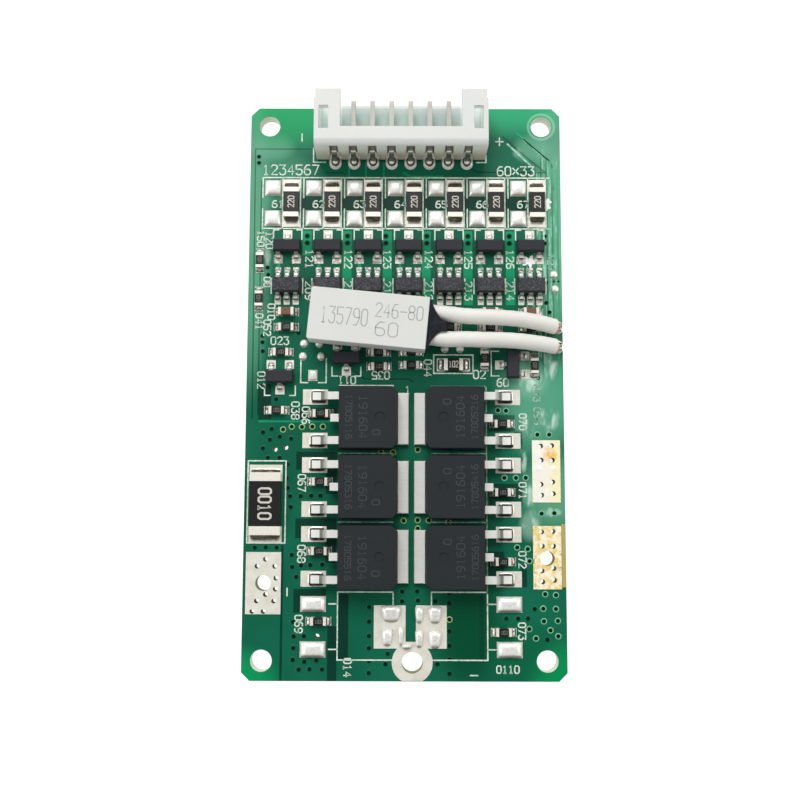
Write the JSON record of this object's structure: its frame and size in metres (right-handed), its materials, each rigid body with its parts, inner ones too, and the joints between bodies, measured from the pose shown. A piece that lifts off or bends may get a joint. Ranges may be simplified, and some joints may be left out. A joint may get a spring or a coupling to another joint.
{
  "type": "battery management circuit board",
  "caption": "Green battery management board with power transistors, current shunt, balancing resistors, side-entry header and a thermal switch on two short leads.",
  "frame": {"origin": "middle of the four corner mounting holes, on the underside of the board", "axes": "+Z out of the component side of the board, +Y along its length towards the header, +X across its width"},
  "size_m": [0.033, 0.0602, 0.0078],
  "materials": {
    "solder_mask": "glossy green solder mask over glass-fibre laminate",
    "tin": "tin-lead solder and tinned copper",
    "gilt": "gilded copper",
    "nylon": "natural nylon, slightly translucent",
    "contact": "tinned square contact wire",
    "case_white": "pale moulded case",
    "potting": "black epoxy",
    "sleeve": "white silicone sleeve",
    "conductor": "tinned stranded copper",
    "mould": "black epoxy moulding",
    "leadframe": "tinned copper leadframe",
    "resistor_core": "black glazed resistor",
    "capacitor_core": "brown ceramic capacitor",
    "terminal": "tinned chip ends",
    "shunt_coat": "black coating"
  },
  "bodies": {
    "root": {"board": "solder_mask", "tinned_pads": "tin", "gold_pads": "gilt", "header_housing": "nylon", "solder_joints": "tin", "switch_case": "case_white", "switch_potting": "potting", "switch_sleeve_1": "sleeve", "switch_sleeve_2": "sleeve", "switch_wire_1": "conductor", "switch_wire_2": "conductor", "shunt_body": "shunt_coat", "shunt_terminals": "terminal", "balance_terminals": "terminal", "small_transistors": "mould", "small_leads": "leadframe", "chip_resistors": "resistor_core", "chip_capacitors": "capacitor_core", "chip_terminals": "terminal", "header_pin_1": "contact", "header_pin_2": "contact", "header_pin_3": "contact", "header_pin_4": "contact", "header_pin_5": "contact", "header_pin_6": "contact", "header_pin_7": "contact", "header_pin_8": "contact", "balance_resistor_1": "resistor_core", "balance_resistor_2": "resistor_core", "balance_resistor_3": "resistor_core", "balance_resistor_4": "resistor_core", "balance_resistor_5": "resistor_core", "balance_resistor_6": "resistor_core", "balance_resistor_7": "resistor_core", "cell_transistor_1": "mould", "cell_transistor_2": "mould", "cell_transistor_3": "mould", "cell_transistor_4": "mould", "cell_transistor_5": "mould", "cell_transistor_6": "mould", "cell_transistor_7": "mould", "cell_monitor_1": "mould", "cell_monitor_2": "mould", "cell_monitor_3": "mould", "cell_monitor_4": "mould", "cell_monitor_5": "mould", "cell_monitor_6": "mould", "cell_monitor_7": "mould", "mosfet_body_1": "mould", "mosfet_body_2": "mould", "mosfet_body_3": "mould", "mosfet_body_4": "mould", "mosfet_body_5": "mould", "mosfet_body_6": "mould", "mosfet_frame_1": "leadframe", "mosfet_frame_2": "leadframe", "mosfet_frame_3": "leadframe", "mosfet_frame_4": "leadframe", "mosfet_frame_5": "leadframe", "mosfet_frame_6": "leadframe"}
  },
  "joints": []
}
